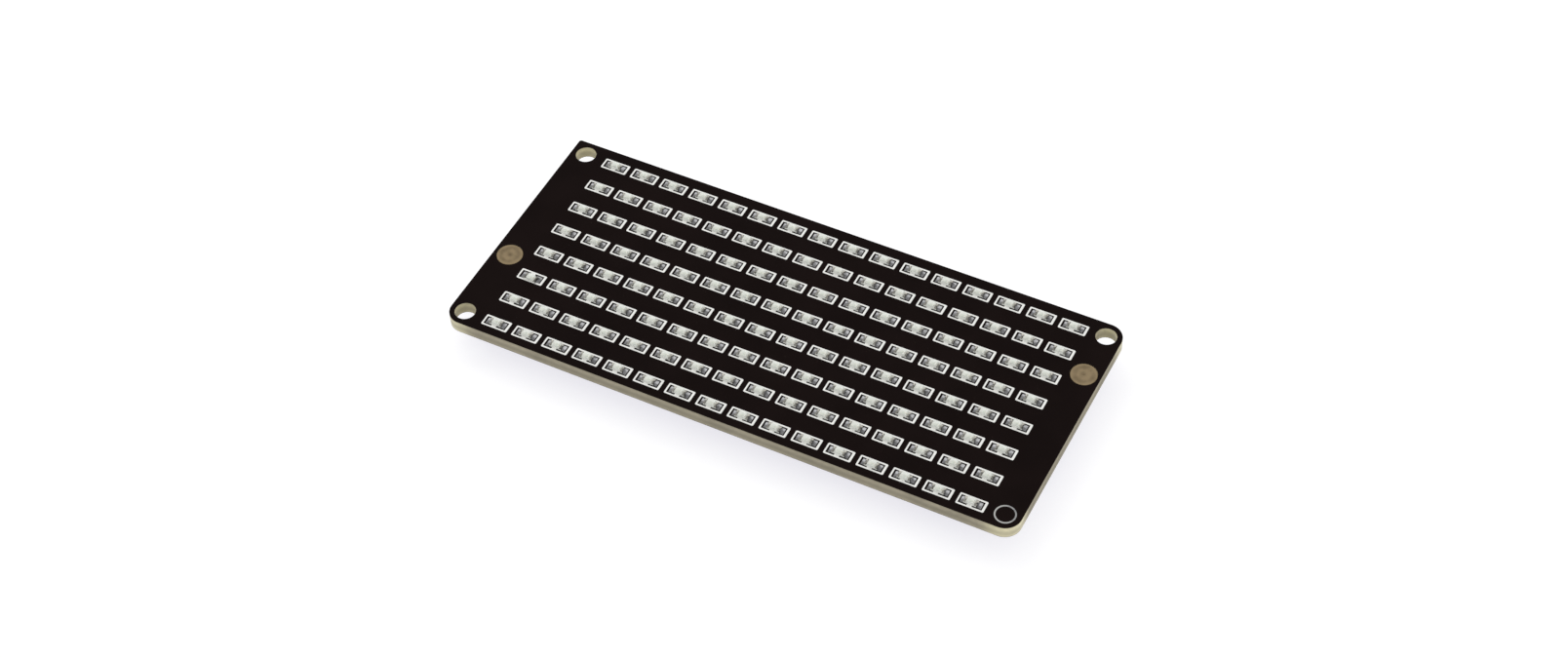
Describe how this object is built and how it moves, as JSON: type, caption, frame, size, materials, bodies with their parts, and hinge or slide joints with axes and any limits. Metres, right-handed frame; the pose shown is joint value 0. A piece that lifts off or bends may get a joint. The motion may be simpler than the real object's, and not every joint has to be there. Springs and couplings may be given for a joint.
{
  "type": "led dot matrix",
  "caption": "Rectangular black circuit board with rows of small chip LEDs on its front and a driver chip and plug socket on its back; lights dot patterns.",
  "frame": {"origin": "under the middle of the board, level with the underside of the plug socket", "axes": "+X along the board to the end with the socket, +Y to the far long edge, +Z out of the LED face"},
  "size_m": [0.072, 0.032, 0.0051],
  "materials": {
    "fibreglass": "glass-filled epoxy with routed edges",
    "black_lacquer": "matte black solder mask",
    "white_ink": "screen-printed white ink",
    "grey_ink": "thinly printed ink",
    "led_base": "white moulded resin",
    "led_lens": "clear cast epoxy",
    "led_terminal": "silver-plated",
    "solder": "reflowed tin solder",
    "led_die": "sawn crystal",
    "brass": "turned, dull",
    "chip_body": "moulded black epoxy",
    "tinned_lead": "tin-plated",
    "tinned_pad": "flat tinned copper",
    "capacitor_body": "fired tan ceramic",
    "resistor_body": "black glazed top",
    "socket_housing": "moulded ivory nylon",
    "gold_contact": "plated phosphor bronze"
  },
  "bodies": {
    "root": {"circuit_board": "fibreglass", "solder_mask_front": "black_lacquer", "solder_mask_back": "black_lacquer", "led_outlines": "white_ink", "back_outlines": "white_ink", "corner_ring": "grey_ink", "led_bases_row_1": "led_base", "led_bases_row_2": "led_base", "led_bases_row_3": "led_base", "led_bases_row_4": "led_base", "led_bases_row_5": "led_base", "led_bases_row_6": "led_base", "led_bases_row_7": "led_base", "led_bases_row_8": "led_base", "led_lenses_row_1": "led_lens", "led_lenses_row_2": "led_lens", "led_lenses_row_3": "led_lens", "led_lenses_row_4": "led_lens", "led_lenses_row_5": "led_lens", "led_lenses_row_6": "led_lens", "led_lenses_row_7": "led_lens", "led_lenses_row_8": "led_lens", "led_terminals_row_1": "led_terminal", "led_terminals_row_2": "led_terminal", "led_terminals_row_3": "led_terminal", "led_terminals_row_4": "led_terminal", "led_terminals_row_5": "led_terminal", "led_terminals_row_6": "led_terminal", "led_terminals_row_7": "led_terminal", "led_terminals_row_8": "led_terminal", "led_solder_row_1": "solder", "led_solder_row_2": "solder", "led_solder_row_3": "solder", "led_solder_row_4": "solder", "led_solder_row_5": "solder", "led_solder_row_6": "solder", "led_solder_row_7": "solder", "led_solder_row_8": "solder", "driver_chip_solder": "solder", "back_solder": "solder", "led_dies": "led_die", "press_nut_left": "brass", "press_nut_right": "brass", "driver_chip": "chip_body", "driver_chip_leads": "tinned_lead", "bulk_capacitor_ends": "tinned_lead", "small_capacitor_ends": "tinned_lead", "resistor_ends": "tinned_lead", "socket_anchors": "tinned_lead", "address_pads": "tinned_pad", "bulk_capacitor": "capacitor_body", "small_capacitor": "capacitor_body", "resistors": "resistor_body", "socket_housing": "socket_housing", "socket_contacts": "gold_contact"}
  },
  "joints": []
}
